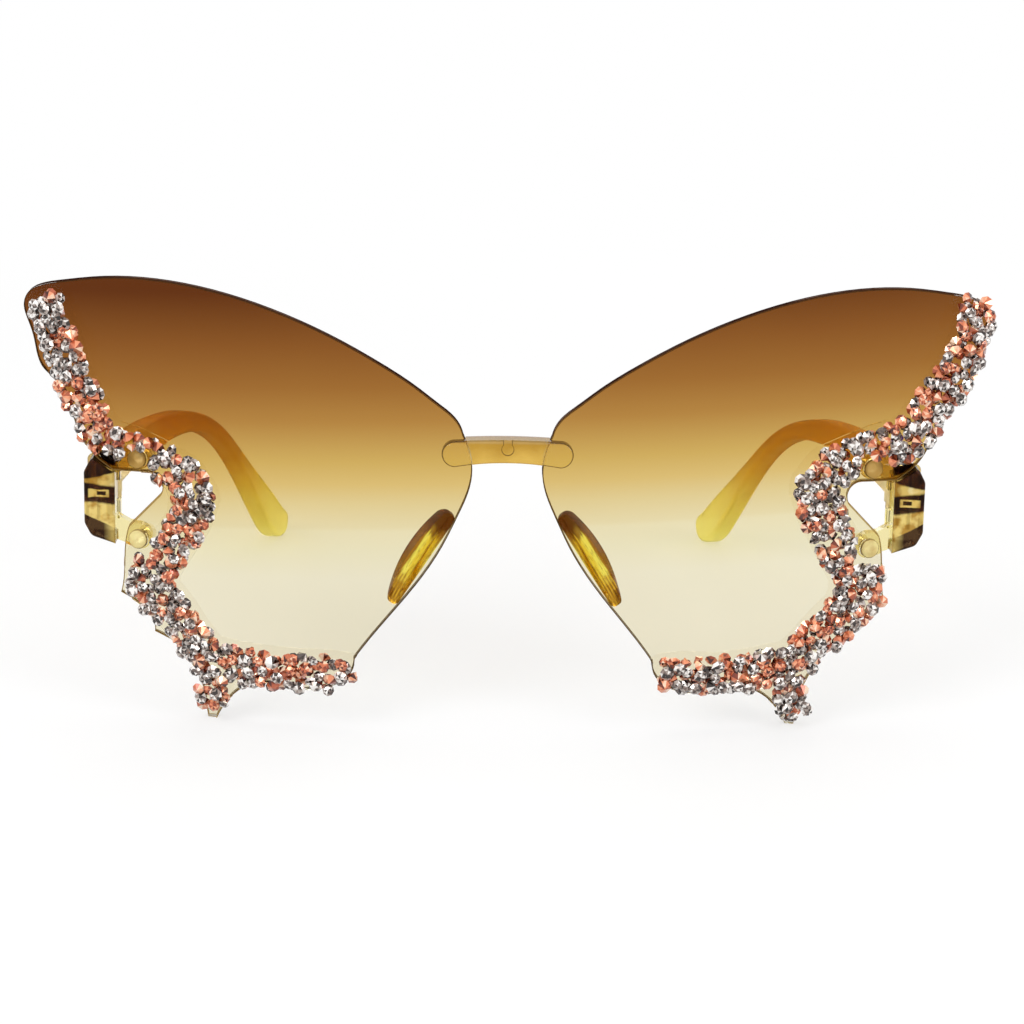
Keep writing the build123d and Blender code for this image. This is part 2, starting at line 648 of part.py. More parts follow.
def spot_on_path(draw, paths, radius):
    """A random place in the crust, spread evenly over its width."""
    runs = []
    weights = []
    for path in paths:
        for start, end in zip(path, path[1:]):
            runs.append((np.array(start), np.array(end)))
            length = math.hypot(end[0] - start[0], end[1] - start[1])
            weights.append(length * (start[2] + end[2]))
    start, end = draw.choices(runs, weights)[0]
    middle = start + draw.random() * (end - start)
    reach = middle[2] - STONE_INSET_SHARE * radius
    along = (end - start)[:2] / np.linalg.norm((end - start)[:2])
    sideways = np.array([-along[1], along[0]])
    spread = reach * draw.uniform(-1, 1) * sideways + reach * draw.uniform(-1, 1) / 2 * along
    across, up = middle[:2] + spread
    return across, up


def box_corners_and_normals(low, high):
    corners = [(x, y, z) for x in (low[0], high[0]) for y in (low[1], high[1])
               for z in (low[2], high[2])]
    normals = np.vstack([np.eye(3), -np.eye(3)])
    return np.array(corners), normals


def crust_obstacles():
    """The rivet heads and the endpiece's bar, as boxes that stones keep clear of."""
    obstacles = []
    for across, up in rivet_places():
        seat = front_depth(across, up)
        head = RIVET_HEAD + SEAT_GAP
        low = (across - head, seat - OVERRUN, up - head)
        high = (across + head, seat + OVERRUN, up + head)
        obstacles.append(box_corners_and_normals(low, high))
    low = (BAR_INSIDE - SEAT_GAP, 0, ENDPIECE_LEVEL - ARM_SPAN / 2)
    high = (BAR_OUTSIDE + SEAT_GAP, BAR_BACK, ENDPIECE_LEVEL + ELBOW_HEIGHT / 2 + SEAT_GAP)
    obstacles.append(box_corners_and_normals(low, high))
    return obstacles


def dropped_stone(draw, place, radius, stones, obstacles, kind_shares):
    """A stone let down on the bed or on the stones below it, and its height over the bed."""
    normal = lens_normal(*place)
    turn = random_turn(draw, normal, kind_shares)
    stone = Stone(radius, turn, lens_point(*place))
    centre = np.array(SPHERE_CENTRE)
    bed_radius = LENS_CURVE + GLUE_LINE + BED_THICKNESS
    lowest = min(np.linalg.norm(corner - centre) for corner in stone.corners)
    climb = (bed_radius + STONE_GAP - lowest) / (normal @ FORWARD)
    stone = stone.lifted(climb * FORWARD)
    near = near_pieces(stone, stones, obstacles, FORWARD)
    rise = resting_rise(stone, near, FORWARD)
    stone = stone.lifted(rise * FORWARD)
    height = np.linalg.norm(stone.corners - centre, axis=1).max() - bed_radius
    return stone, height


def lay_crust(paths, seed, first):
    """Clear and copper stones let down in turn, each on the lowest of a few random spots."""
    draw = random.Random(seed)
    obstacles = crust_obstacles()
    laid = list(first)
    kinds = {"clear": CLEAR_KIND_SHARES, "copper": COPPER_KIND_SHARES}
    stones = {name: [] for name in kinds}
    for _ in range(STONE_COUNT // len(kinds)):
        for name, kind_shares in kinds.items():
            radius = draw.choice(STONE_RADII)
            best = None
            for _ in range(SPOTS_TRIED):
                place = spot_on_path(draw, paths, radius)
                stone, height = dropped_stone(draw, place, radius, laid, obstacles, kind_shares)
                if stone.corners[:, 2].min() < FLOOR_CLEARANCE:
                    continue
                if best is None or height < best[1]:
                    best = (stone, height)
            if best is not None and best[1] < CRUST_DEPTH:
                laid.append(best[0])
                stones[name].append(best[0])
    return stones


def stone_group(stones, mirrored):
    """The stones as separate solids, on the right or mirrored to the left."""
    patterns = {radius: stone_solid(radius) for radius in STONE_RADII}
    solids = []
    for stone in stones:
        place = Plane(
            origin=tuple(stone.centre),
            x_dir=tuple(stone.turn[:, 0]),
            z_dir=tuple(stone.turn[:, 2]),
        )
        solids.append(patterns[stone.radius].moved(place.location))
    group = Compound(solids)
    return mirror(group, about=Plane.YZ) if mirrored else group


def make_crusts(prism):
    """Beds and stones of both sides, by node name."""
    nodes = {}
    left_paths = crust_paths(CRUST_LEFT_SHARES, HEM_LEFT_SHARES)
    right_paths = crust_paths(CRUST_RIGHT_SHARES, HEM_RIGHT_SHARES)
    violet_place = (VIOLET_SHARES[0] * LENS_REACH, VIOLET_SHARES[1] * LENS_TOP)
    nodes["glue_bed_left"] = mirror(make_glue_bed(left_paths, prism), about=Plane.YZ)
    nodes["glue_bed_right"] = make_glue_bed(right_paths, prism)
    draw = random.Random(SEED)
    violet, _ = dropped_stone(
        draw, violet_place, STONE_RADIUS, [], crust_obstacles(), VIOLET_KIND_SHARES
    )
    nodes["violet_stone"] = stone_group([violet], False)
    left = lay_crust(left_paths, SEED, [])
    right = lay_crust(right_paths, SEED + 1, [violet])
    for side, stones, mirrored in (("left", left, True), ("right", right, False)):
        for name, placed in stones.items():
            print(name, "stones", side, len(placed))
            nodes[f"{name}_stones_{side}"] = stone_group(placed, mirrored)
    return nodes


def make_pieces():
    """Every node of the sunglasses, in the working frame."""
    prism = lens_prism(0, 0)
    upper, lower = rivet_places()
    right_pieces = {
        "lens": make_lens(prism),
        "nose_pad": make_nose_pad(),
        "endpiece": make_endpiece(),
        "upper_rivet": make_rivet(*upper),
        "lower_rivet": make_rivet(*lower),
        "hinge_screw": make_hinge_screw(),
        "temple": make_temple(),
    }
    nodes = {"bridge": make_bridge()}
    for name, piece in right_pieces.items():
        nodes[f"{name}_right"] = piece
        nodes[f"{name}_left"] = mirror(piece, about=Plane.YZ)
    nodes.update(make_crusts(prism))
    return nodes


def write_pieces(nodes):
    """Centre the depth and write one file for each node."""
    boxes = [piece.bounding_box() for piece in nodes.values()]
    front = min(box.min.Y for box in boxes)
    back = max(box.max.Y for box in boxes)
    shift = Location((0, -(front + back) / 2, 0))
    os.makedirs("parts", exist_ok=True)
    for name, piece in nodes.items():
        export_step(piece.moved(shift), f"parts/{name}.step")
    print("hinge axis at", round(HINGE_X, 3), round(HINGE_Y - (front + back) / 2, 3))
    print("depth from", round(front, 3), "to", round(back, 3))


write_pieces(make_pieces())
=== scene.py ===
import math

import bmesh
import bpy
from mathutils import Matrix, Vector


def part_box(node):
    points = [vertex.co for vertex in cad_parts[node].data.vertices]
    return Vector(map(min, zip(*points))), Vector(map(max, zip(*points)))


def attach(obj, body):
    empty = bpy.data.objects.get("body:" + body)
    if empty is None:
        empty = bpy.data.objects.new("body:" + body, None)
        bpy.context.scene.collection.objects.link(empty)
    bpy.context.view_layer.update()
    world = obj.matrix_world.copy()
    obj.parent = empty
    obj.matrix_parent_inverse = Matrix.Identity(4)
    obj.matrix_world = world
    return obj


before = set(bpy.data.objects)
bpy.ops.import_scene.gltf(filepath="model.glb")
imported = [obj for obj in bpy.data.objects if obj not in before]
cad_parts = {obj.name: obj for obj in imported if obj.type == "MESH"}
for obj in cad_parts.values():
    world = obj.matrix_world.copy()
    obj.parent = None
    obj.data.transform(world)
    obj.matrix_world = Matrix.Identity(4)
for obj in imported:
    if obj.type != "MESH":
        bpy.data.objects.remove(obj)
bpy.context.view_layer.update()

MM = 0.001
WHITE = (1, 1, 1)
BLACK = (0, 0, 0)

# Camera: the photograph's distance, height and angles
CAMERA_DISTANCE = 498.7 * MM
CAMERA_LEFT = 10.75 * MM
CAMERA_HEIGHT = 163 * MM
CAMERA_TURN = math.radians(1.339)
CAMERA_PITCH = math.radians(13.7)
CAMERA_ROLL = math.radians(1.069)
CAMERA_LENS = 104.8
SENSOR_WIDTH = 36

# Places on the pieces, in the frame's own coordinates
LENS_TOP = 79 * MM
LENS_THICKNESS = 2 * MM
LENS_CURVE = 220 * MM
CROWN_HEIGHT = 45 * MM
BRIDGE_LEVEL = 51.4 * MM
BRIDGE_HEIGHT = 4.6 * MM
ENDPIECE_LEVEL = 40.25 * MM
ENDPIECE_ELBOW = 6.9 * MM
BAR_INSIDE = 68.6 * MM
BAR_OUTSIDE = 74 * MM


def look_along(turn, pitch, roll):
    """Camera rotation from its turn, downward pitch and roll."""
    forward = Vector((
        math.sin(turn) * math.cos(pitch),
        math.cos(turn) * math.cos(pitch),
        -math.sin(pitch),
    ))
    level_right = Vector((math.cos(turn), -math.sin(turn), 0))
    level_up = level_right.cross(forward)
    right = level_right * math.cos(roll) + level_up * math.sin(roll)
    up = level_up * math.cos(roll) - level_right * math.sin(roll)
    return Matrix((right, up, -forward)).transposed()


def add_camera():
    data = bpy.data.cameras.new("camera")
    data.lens = CAMERA_LENS
    data.sensor_width = SENSOR_WIDTH
    camera = bpy.data.objects.new("camera", data)
    bpy.context.scene.collection.objects.link(camera)
    bridge_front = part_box("bridge")[0].y
    place = Vector((-CAMERA_LEFT, bridge_front - CAMERA_DISTANCE, CAMERA_HEIGHT))
    rotation = look_along(CAMERA_TURN, CAMERA_PITCH, CAMERA_ROLL)
    camera.matrix_world = Matrix.Translation(place) @ rotation.to_4x4()
    bpy.context.scene.camera = camera


class Tree:
    """
    Short forms for the nodes of a material or of the world. Most return a socket.

    A value whose name ends in LIMIT holds a place and the softness of the border there. One whose
    name ends in BAND holds both ends and the softness.
    """

    def __init__(self, owner):
        owner.use_nodes = True
        self.owner = owner
        self.nodes = owner.node_tree.nodes
        self.links = owner.node_tree.links
        self.nodes.clear()

    def put(self, value, socket):
        """Links a value that is a socket, and sets one that is a number or a colour."""
        if isinstance(value, bpy.types.NodeSocket):
            self.links.new(value, socket)
        elif isinstance(value, tuple) and socket.type == "RGBA":
            socket.default_value = (*value, 1)
        else:
            socket.default_value = value

    def add(self, kind, inputs=None, **settings):
        node = self.nodes.new(kind)
        for name, value in settings.items():
            setattr(node, name, value)
        for name, value in (inputs or {}).items():
            self.put(value, node.inputs[name])
        return node

    def math(self, operation, first, second=0.0, clamp=False):
        node = self.add("ShaderNodeMath", {0: first, 1: second}, operation=operation, use_clamp=clamp)
        return node.outputs[0]

    def plus(self, first, second, clamp=False):
        return self.math("ADD", first, second, clamp)

    def minus(self, first, second):
        return self.math("SUBTRACT", first, second)

    def times(self, first, second):
        return self.math("MULTIPLY", first, second)

    def larger(self, first, second):
        return self.math("MAXIMUM", first, second)

    def absolute(self, value):
        return self.math("ABSOLUTE", value)

    def between(self, share, first, second):
        """Number between two plain numbers."""
        return self.plus(first, self.times(share, second - first))

    def above(self, value, limit, soft):
        """One above the limit and nothing below it, with a soft border."""
        node = self.add(
            "ShaderNodeMapRange", {"Value": value, "From Min": limit - soft, "From Max": limit + soft},
            interpolation_type="SMOOTHSTEP",
        )
        return node.outputs[0]

    def below(self, value, limit, soft):
        """One below the limit and nothing above it, with a soft border."""
        return self.above(value, limit, -soft)

    def within(self, value, low, high, soft):
        """One between low and high, with soft borders."""
        return self.times(self.above(value, low, soft), self.below(value, high, soft))

    def vector(self, operation, *inputs):
        """Outputs of a step of vector maths, by the names Vector and Value."""
        return self.add("ShaderNodeVectorMath", dict(enumerate(inputs)), operation=operation).outputs

    def parts(self, vector):
        node = self.add("ShaderNodeSeparateXYZ", {0: vector})
        return node.outputs["X"], node.outputs["Y"], node.outputs["Z"]

    def place(self):
        """Place in the object's own coordinates, which move with it."""
        return self.add("ShaderNodeTexCoord").outputs["Object"]

    def frontal(self):
        """One where the surface faces the front or the back, nothing where it faces a side."""
        normal = self.add("ShaderNodeNewGeometry").outputs["Normal"]
        return self.absolute(self.parts(normal)[1])

    def mix(self, share, first, second):
        """Colour between two colours."""
        node = self.add("ShaderNodeMix", data_type="RGBA")
        sockets = {socket.name: socket for socket in node.inputs if socket.enabled}
        self.put(share, sockets["Factor"])
        self.put(first, sockets["A"])
        self.put(second, sockets["B"])
        return next(socket for socket in node.outputs if socket.enabled)

    def ramp(self, share, stops):
        """Colour by a share, from (share, colour) stops."""
        node = self.add("ShaderNodeValToRGB", {"Fac": share})
        elements = node.color_ramp.elements
        while len(elements) < len(stops):
            elements.new(0.5)
        for element, (position, colour) in zip(elements, stops):
            element.position = position
            element.color = (*colour, 1)
        return node.outputs["Color"]

    def noise(self, vector, size, detail):
        """Noise whose features are about this size."""
        inputs = {"Vector": vector, "Scale": 1 / size, "Detail": detail}
        return self.add("ShaderNodeTexNoise", inputs).outputs["Fac"]

    def swing(self, noise, reach):
        """Noise brought round zero, times a reach."""
        return self.times(self.minus(noise, 0.5), reach)

    def bump(self, height, depth, strength):
        inputs = {"Height": height, "Distance": depth, "Strength": strength}
        return self.add("ShaderNodeBump", inputs).outputs["Normal"]

    def principled(self, **inputs):
        node = self.add("ShaderNodeBsdfPrincipled")
        for name, value in inputs.items():
            self.put(value, node.inputs[name.replace("_", " ")])
        return node.outputs["BSDF"]

    def finish(self, surface):
        self.add("ShaderNodeOutputMaterial", {"Surface": surface})
        return self.owner


def new_material(name):
    return Tree(bpy.data.materials.new(name))


# Lens tint: height on the lens and the colour that it lets through
LENS_TINT = [
    (18 * MM, (0.85, 0.80, 0.62)),
    (29 * MM, (0.85, 0.80, 0.61)),
    (34 * MM, (0.83, 0.77, 0.53)),
    (37.8 * MM, (0.82, 0.735, 0.47)),
    (38.2 * MM, (0.80, 0.70, 0.42)),
    (42.5 * MM, (0.755, 0.61, 0.295)),
    (46 * MM, (0.71, 0.51, 0.18)),
    (50 * MM, (0.63, 0.42, 0.115)),
    (57 * MM, (0.46, 0.235, 0.055)),
    (63 * MM, (0.35, 0.15, 0.032)),
    (70 * MM, (0.26, 0.095, 0.02)),
    (79 * MM, (0.13, 0.035, 0.008)),
]
TINT_SLANT = 0.04
TINT_BLUSH = (0.47, 0.26, 0.045)
TINT_CLOUD_SIZE = 30 * MM
TINT_CLOUD_SHARE = 0.12
LENS_GLOSS = (0.12, 0.12, 0.12)
DUST_SIZE = 1.5 * MM
DUST_LEVEL = 0.76
DUST_ROUGHNESS = 0.1

# Lens rim: dark as painted shade, with a patchy painted highlight along its middle, golden low down and
# outside
RIM_SHADE = (0.030, 0.012, 0.008)
RIM_HIGHLIGHT = (0.24, 0.15, 0.11)
RIM_GOLD = (0.42, 0.27, 0.09)
RIM_FACING = 0.6
RIM_ROUGHNESS = 0.6
RIM_HIGHLIGHT_SIZE = 14 * MM
RIM_HIGHLIGHT_PATCHES = [(0.42, BLACK), (0.62, (0.9, 0.9, 0.9))]
RIM_HIGHLIGHT_BAND = (0.4, 0.62, 0.1)
RIM_LOW_LIMIT = (50 * MM, 3 * MM)
RIM_OUTER_LIMIT = (45 * MM, 4 * MM)

# Part of the rim that the bridge covers, and how far it hides it
COVER_HALF = 2.1 * MM
COVER_LIMIT = (11.35 * MM, 0.1 * MM)
COVER_BAND = (BRIDGE_LEVEL - COVER_HALF, BRIDGE_LEVEL + COVER_HALF, 0.2 * MM)
COVER_SHARE = 0.85


def lens_centre():
    """Centre of the sphere that the front skin of both lenses lies on."""
    return Vector((0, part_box("lens_left")[0].y + LENS_CURVE, CROWN_HEIGHT))


def sphere_place(tree, position):
    """How squarely a face looks along the lens's sphere, and how deep it lies in the lens."""
    radial = tree.vector("SUBTRACT", position, tuple(lens_centre()))["Vector"]
    reach = tree.vector("LENGTH", radial)["Value"]
    outwards = tree.vector("NORMALIZE", radial)["Vector"]
    normal = tree.add("ShaderNodeNewGeometry").outputs["True Normal"]
    facing = tree.vector("DOT_PRODUCT", outwards, normal)["Value"]
    depth = tree.math("DIVIDE", tree.minus(LENS_CURVE, reach), LENS_THICKNESS)
    return tree.absolute(facing), depth


def behind_bridge(tree, x, height):
    """One where the bridge covers the lens's edge."""
    across = tree.below(tree.absolute(x), *COVER_LIMIT)
    return tree.times(across, tree.within(height, *COVER_BAND))


# Rim colour: painted shade, with patches of painted highlight along the middle of the edge
def rim_colour(tree, position, depth):
    x, _, height = tree.parts(position)
    highlight_patches = tree.ramp(tree.noise(position, RIM_HIGHLIGHT_SIZE, detail=3), RIM_HIGHLIGHT_PATCHES)
    middle = tree.times(tree.within(depth, *RIM_HIGHLIGHT_BAND), highlight_patches)
    colour = tree.mix(middle, RIM_SHADE, RIM_HIGHLIGHT)
    low = tree.below(height, *RIM_LOW_LIMIT)
    outer = tree.above(tree.absolute(x), *RIM_OUTER_LIMIT)
    return tree.mix(tree.times(low, outer), colour, RIM_GOLD)


def lens_tint(tree, position):
    """Tint by height, which slants a little, with a faint cloud."""
    x, _, height = tree.parts(position)
    slanted = tree.minus(height, tree.times(x, TINT_SLANT))
    stops = [(level / LENS_TOP, colour) for level, colour in LENS_TINT]
    tint = tree.ramp(tree.math("DIVIDE", slanted, LENS_TOP), stops)
    cloud = tree.swing(tree.noise(position, TINT_CLOUD_SIZE, detail=2), TINT_CLOUD_SHARE)
    return tree.mix(tree.larger(cloud, 0.0), tint, TINT_BLUSH)


def lens_material():
    """Clear plastic with a tint that deepens upwards, and polished edges painted dark as shade with a
    patchy painted highlight.
    """
    tree = new_material("tinted_lens")
    position = tree.place()
    x, _, height = tree.parts(position)
    facing, depth = sphere_place(tree, position)
    shown = tree.between(behind_bridge(tree, x, height), 1.0, 1.0 - COVER_SHARE)
    rim = tree.times(tree.math("LESS_THAN", facing, RIM_FACING), shown)
    colour = tree.mix(rim, lens_tint(tree, position), rim_colour(tree, position, depth))
    dust = tree.math("GREATER_THAN", tree.noise(position, DUST_SIZE, detail=6), DUST_LEVEL)
    roughness = tree.larger(tree.times(dust, DUST_ROUGHNESS), tree.times(rim, RIM_ROUGHNESS))
    surface = tree.principled(
        Base_Color=colour, Roughness=roughness, IOR=1.25, Transmission_Weight=tree.minus(1.0, rim),
        Specular_Tint=LENS_GLOSS, Specular_IOR_Level=0.0,
    )
    return tree.finish(surface)


# Amber pieces
PALE_AMBER = (0.97, 0.91, 0.72)
AMBER_WAVE_DEPTH = 0.05 * MM


def amber_surface(tree, colour, waves, strength=0.5, clear=1.0, roughness=0.04, bending=1.22, gloss=0.2):
    """Amber plastic of a colour, clear or cloudy, with soft waves in its skin."""
    return tree.principled(
        Base_Color=colour, Roughness=roughness, IOR=bending, Transmission_Weight=clear,
        Normal=tree.bump(waves, AMBER_WAVE_DEPTH, strength), Specular_IOR_Level=gloss,
    )


# Rivets: the upper ones are deeper in colour, the rounded edge carries painted shade, and the shanks
# inside are pale and clear
RIVET_PALE = (1.0, 0.87, 0.40)
RIVET_DEEP = (0.54, 0.28, 0.045)
RIVET_EDGE_SHADE = (0.30, 0.17, 0.035)
RIVET_TONES = [(0.4, RIVET_PALE), (1.0, RIVET_DEEP)]
RIVET_CLOUD_SIZE = 1.8 * MM
RIVET_UPPER_LIMIT = (ENDPIECE_LEVEL, 1 * MM)
RIVET_UPPER_SHARE = 0.8
RIVET_SLOPE_LIMIT = (0.8, 0.1)
RIVET_EDGE_SHADE_SHARE = 0.7
RIVET_SHANK_LIMIT = (2 * MM, 0.3 * MM)
RIVET_CLEAR = (0.15, 0.95)


def rivet_material():
    """Pale amber discs, a little cloudy, with painted shade on the rounded edge."""
    tree = new_material("rivet_amber")
    position = tree.place()
    _, y, height = tree.parts(position)
    cloud = tree.noise(position, RIVET_CLOUD_SIZE, detail=3)
    colour = tree.ramp(cloud, RIVET_TONES)
    upper = tree.times(tree.above(height, *RIVET_UPPER_LIMIT), RIVET_UPPER_SHARE)
    colour = tree.mix(upper, colour, RIVET_DEEP)
    # Painted shade where the disc's edge turns away from the front
    edge = tree.times(tree.below(tree.frontal(), *RIVET_SLOPE_LIMIT), RIVET_EDGE_SHADE_SHARE)
    colour = tree.mix(edge, colour, RIVET_EDGE_SHADE)
    depth = tree.minus(y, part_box("upper_rivet_left")[0].y)
    shank = tree.above(depth, *RIVET_SHANK_LIMIT)
    colour = tree.mix(shank, colour, PALE_AMBER)
    clear = tree.between(shank, *RIVET_CLEAR)
    surface = amber_surface(tree, colour, cloud, strength=0.2, clear=clear, roughness=0.3, bending=1.12)
    return tree.finish(surface)


# Bridge: deep between the lenses, deeper low down, pale where it lies over them, with a painted
# highlight along its top
BRIDGE_TONES = [(0.3, (0.47, 0.25, 0.026)), (0.75, (0.74, 0.47, 0.09))]
BRIDGE_ENDS = (1.0, 0.95, 0.66)
BRIDGE_TOP_HIGHLIGHT = (0.55, 0.41, 0.30)
BRIDGE_CLOUD_SIZE = 5 * MM
BRIDGE_LOW_SHARE = 0.6
BRIDGE_HIGHLIGHT_LIMIT = (BRIDGE_LEVEL + 2 * MM, 0.2 * MM)
BRIDGE_HIGHLIGHT_SHARE = 0.7

# Curve of the lenses' nose edges behind the bridge: half the gap at its waist, and how it bends away
NOSE_WAIST = 48.9 * MM
NOSE_HALF_GAP = 6.04 * MM
NOSE_BEND = 0.055 / MM
OVER_LENS_LIMIT = (0.0, 0.08 * MM)

# Dark lines of painted shade on the bridge: round its outline, over the nose edges and round the keyhole
OUTLINE_SHADE_BROWN = (0.030, 0.010, 0.003)
OUTLINE_LIMIT = (0.88, 0.1)
OUTLINE_SHARES = (0.5, 0.95)
SEAM_BAND = (-0.06 * MM, 0.06 * MM, 0.06 * MM)
SEAM_SHARE = 0.3
GATE_LEVEL = 52.35 * MM
GATE_RADIUS = 1.05 * MM
GATE_NECK = 0.75 * MM
GATE_BAND = (-0.07 * MM, 0.07 * MM, 0.05 * MM)
GATE_DEPTH_LIMIT = (0.8 * MM, 0.1 * MM)
GATE_SHARE = 0.9


def gate_line(tree, x, depth, height):
    """One along the keyhole's outline, on the front of the bar, where the recess is painted dark as
    shade.
    """
    up = tree.minus(height, GATE_LEVEL)
    square = tree.plus(tree.math("POWER", x, 2.0), tree.math("POWER", up, 2.0))
    bulb = tree.minus(tree.math("SQRT", square), GATE_RADIUS)
    side = tree.minus(tree.absolute(x), GATE_NECK)
    neck = tree.larger(side, tree.times(up, -1.0))
    line = tree.within(tree.math("MINIMUM", bulb, neck), *GATE_BAND)
    return tree.times(line, tree.below(depth, *GATE_DEPTH_LIMIT))


def past_nose_edge(tree, x, height):
    """Distance outwards from the lens's nose edge at this height."""
    bend = tree.math("POWER", tree.minus(height, NOSE_WAIST), 2.0)
    nose_edge = tree.plus(NOSE_HALF_GAP, tree.times(bend, NOSE_BEND))
    return tree.minus(tree.absolute(x), nose_edge)


def bridge_material():
    """Olive amber where the bar is deep, pale over the lenses, with a line of painted shade round it and
    a painted highlight along its top.
    """
    tree = new_material("bridge_amber")
    position = tree.place()
    x, y, height = tree.parts(position)
    cloud = tree.noise(position, BRIDGE_CLOUD_SIZE, detail=3)
    lower = tree.math("DIVIDE", tree.minus(BRIDGE_LEVEL, height), BRIDGE_HEIGHT)
    colour = tree.ramp(tree.plus(cloud, tree.times(lower, BRIDGE_LOW_SHARE)), BRIDGE_TONES)
    beyond = past_nose_edge(tree, x, height)
    over_lens = tree.above(beyond, *OVER_LENS_LIMIT)
    colour = tree.mix(over_lens, colour, BRIDGE_ENDS)
    # Painted highlight along the top of the bar
    painted_light_top = tree.times(tree.above(height, *BRIDGE_HIGHLIGHT_LIMIT), BRIDGE_HIGHLIGHT_SHARE)
    colour = tree.mix(painted_light_top, colour, BRIDGE_TOP_HIGHLIGHT)
    # Painted shade where the bar rounds away from the front, over the nose edges and round the keyhole
    rounded = tree.below(tree.frontal(), *OUTLINE_LIMIT)
    outline = tree.times(rounded, tree.between(over_lens, *OUTLINE_SHARES))
    seam = tree.times(tree.within(beyond, *SEAM_BAND), SEAM_SHARE)
    depth = tree.minus(y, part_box("bridge")[0].y)
    gate = tree.times(gate_line(tree, x, depth, height), GATE_SHARE)
    line = tree.larger(tree.larger(outline, seam), gate)
    colour = tree.mix(line, colour, OUTLINE_SHADE_BROWN)
    return tree.finish(amber_surface(tree, colour, cloud))


# Endpieces: levels count from the hinge, and distances outwards from the bar's inner side
DEEP_GOLD = (0.42, 0.22, 0.03)
GOLD = (0.78, 0.58, 0.17)
PALE_GOLD = (0.92, 0.80, 0.40)
GOLD_TONES = [(0.38, DEEP_GOLD), (0.50, GOLD), (0.60, GOLD), (0.68, PALE_GOLD)]
GOLD_CLOUD_SIZE = 3.2 * MM
# Painted shade: dark browns and maroon, in a cloud
SHADE_BROWN = (0.014, 0.005, 0.002)
LOW_FACET_SHADE_BROWN = (0.035, 0.013, 0.004)
SHADE_MAROON = (0.055, 0.012, 0.005)
SHADE_BAND_TONES = [(0.42, SHADE_BROWN), (0.75, SHADE_MAROON)]
SHADE_CLOUD_SIZE = 2.2 * MM

# Dark bands of painted shade, standing in for the dark refractions in the clear amber: their slants
# along the bar, limits, and the drift of their borders
BORDER_DRIFT_SIZE = 3.5 * MM
BORDER_DRIFT = 0.9 * MM
TOP_SHADE_SLANT = 0.22
TOP_SHADE_LIMIT = (4.55 * MM, 0.2 * MM)
HINGE_SHADE_SLANT = 0.11
HINGE_SHADE_BAND = (-1.25 * MM, 2.1 * MM, 0.25 * MM)
FACET_SHADE_SLANT = 0.48
FACET_SHADE_LIMIT = (-5.45 * MM, 0.15 * MM)
FACET_SHADE = 0.1
FACET_SHADE_RISE = 0.45 / MM

# Gold ring round the dark slot of painted shade in which the screw shows
RING_LEVEL_BAND = (0.1 * MM, 1.5 * MM, 0.1 * MM)
RING_SIDE_BAND = (1.0 * MM, 4.6 * MM, 0.15 * MM)
SLOT_SHADE_LEVEL_BAND = (0.45 * MM, 1.2 * MM, 0.1 * MM)
SLOT_SHADE_SIDE_BAND = (1.5 * MM, 3.1 * MM, 0.12 * MM)

# Arms, and the bar's skin that carries the painted shade bands: its front, outside, ends and top
UPPER_ARM = (0.80, 0.64, 0.28)
LOWER_ARM = (0.90, 0.80, 0.42)
ARM_LIMIT = (2 * MM, 1 * MM)
SKIN_DEPTH_LIMIT = (0.75 * MM, 0.1 * MM)
SKIN_OUTSIDE_LIMIT = (BAR_OUTSIDE - BAR_INSIDE - 0.3 * MM, 0.1 * MM)
SKIN_ENDS_LIMIT = (ENDPIECE_ELBOW, 0.3 * MM)
SKIN_TOP_LIMIT = (5.2 * MM, 0.2 * MM)
SKIN_INSIDE_LIMIT = (-0.1 * MM, 0.1 * MM)
SKIN_CLEAR = 0.28


def bar_with_painted_shade(tree, position, level, outwards, cloud):
    """Colour of the bar: gold with dark bands of painted shade, and the hinge's ring and its slot of
    painted shade.
    """
    # Dark bands of painted shade: over the top, along the hinge, over the lower facet and in the slot
    painted_shade = tree.ramp(tree.noise(position, SHADE_CLOUD_SIZE, detail=4), SHADE_BAND_TONES)
    painted_light_top = tree.above(tree.plus(level, tree.times(outwards, TOP_SHADE_SLANT)), *TOP_SHADE_LIMIT)
    bar = tree.mix(painted_light_top, tree.ramp(cloud, GOLD_TONES), painted_shade)
    ring_level = tree.within(level, *RING_LEVEL_BAND)
    ring = tree.times(ring_level, tree.within(outwards, *RING_SIDE_BAND))
    hinge_shade = tree.within(tree.minus(level, tree.times(outwards, HINGE_SHADE_SLANT)), *HINGE_SHADE_BAND)
    bar = tree.mix(tree.times(hinge_shade, tree.minus(1.0, ring)), bar, painted_shade)
    facet = tree.below(tree.minus(level, tree.times(outwards, FACET_SHADE_SLANT)), *FACET_SHADE_LIMIT)
    shade = tree.plus(FACET_SHADE, tree.times(outwards, FACET_SHADE_RISE), clamp=True)
    bar = tree.mix(tree.times(facet, shade), bar, LOW_FACET_SHADE_BROWN)
    slot_level = tree.within(level, *SLOT_SHADE_LEVEL_BAND)
    slot_shade = tree.times(slot_level, tree.within(outwards, *SLOT_SHADE_SIDE_BAND))
    return tree.mix(slot_shade, bar, SHADE_BROWN)


def bar_skin(tree, depth, level, outwards):
    """One on the skin of the bar, nothing inside it and on the arms."""
    skin = tree.below(depth, *SKIN_DEPTH_LIMIT)
    outer_parts = (
        tree.above(outwards, *SKIN_OUTSIDE_LIMIT),
        tree.above(tree.absolute(level), *SKIN_ENDS_LIMIT),
        tree.above(level, *SKIN_TOP_LIMIT),
    )
    for part in outer_parts:
        skin = tree.larger(skin, part)
    return tree.times(skin, tree.above(outwards, *SKIN_INSIDE_LIMIT))


